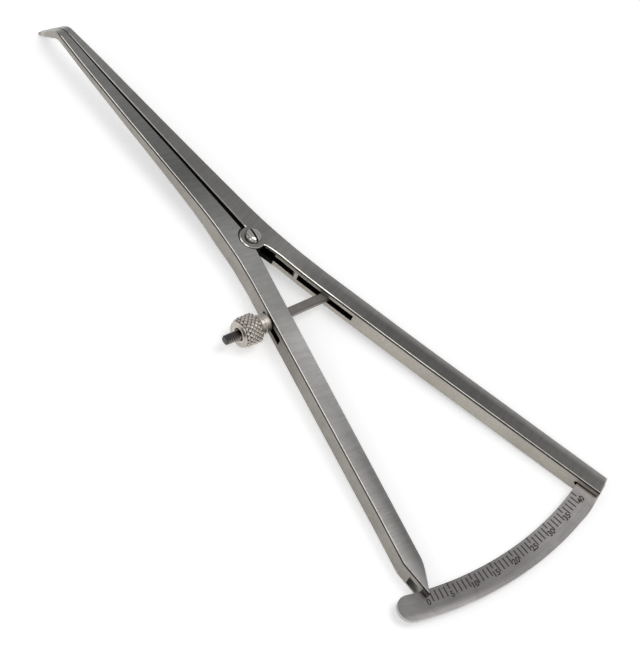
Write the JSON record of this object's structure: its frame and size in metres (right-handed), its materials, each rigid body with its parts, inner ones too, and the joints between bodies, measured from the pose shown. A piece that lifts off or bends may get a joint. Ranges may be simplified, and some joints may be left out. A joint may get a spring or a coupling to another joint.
{
  "type": "arc scale arm caliper",
  "caption": "Small steel lever caliper: bent pointed jaws on a slotted pivot screw, a curved scale plate read by a pointer, and a knurled nut on a swinging rod that closes the jaws.",
  "frame": {"origin": "on the pivot axis, in the plane of the arms' undersides, at the flush bottom end of the pivot screw", "axes": "+Z along the pivot axis, up towards the screw head; +X from the jaws towards the scale, along the line of the closed jaws; +Y towards the scale arm"},
  "size_m": [0.1763, 0.064, 0.0096],
  "materials": {
    "satin_steel": "satin, fine brush lines across the arms",
    "dark_steel": "satin, darker, with etched scale marks on the plate",
    "bright_steel": "bright turned"
  },
  "bodies": {
    "scale_body": {"scale_arm": "satin_steel", "pivot_screw": "bright_steel", "scale_plate": "dark_steel", "rod_pin": "satin_steel"},
    "pointer_body": {"pointer_arm": "satin_steel"},
    "rod_body": {"adjusting_rod": "dark_steel"},
    "collar_body": {"thrust_collar": "bright_steel"},
    "nut_body": {"adjusting_nut": "bright_steel"}
  },
  "joints": [
    {"name": "arm_pivot", "type": "hinge", "parent": "scale_body", "child": "pointer_body", "pos_m": [0, 0, 0], "axis": [0, 0, 1], "range_deg": [0, 29.6]},
    {"name": "rod_swing", "type": "hinge", "parent": "scale_body", "child": "rod_body", "pos_m": [0.02087, 0.00715, 0.00235], "axis": [0, 0, 1], "range_deg": [0, 16.3]},
    {"name": "collar_travel", "type": "slide", "parent": "rod_body", "child": "collar_body", "axis": [0.1045, 0.9945, 0], "range_m": [0, 0.0111]},
    {"name": "nut_spin", "type": "hinge", "parent": "collar_body", "child": "nut_body", "pos_m": [0.02087, 0.00715, 0.00235], "axis": [-0.1045, -0.9945, 0], "continuous": true}
  ],
  "couplings": [
    {"joint": "rod_swing", "follows": "arm_pivot", "ratio": 0.55},
    {"joint": "collar_travel", "follows": "arm_pivot", "m_per_rad": 0.02146}
  ]
}
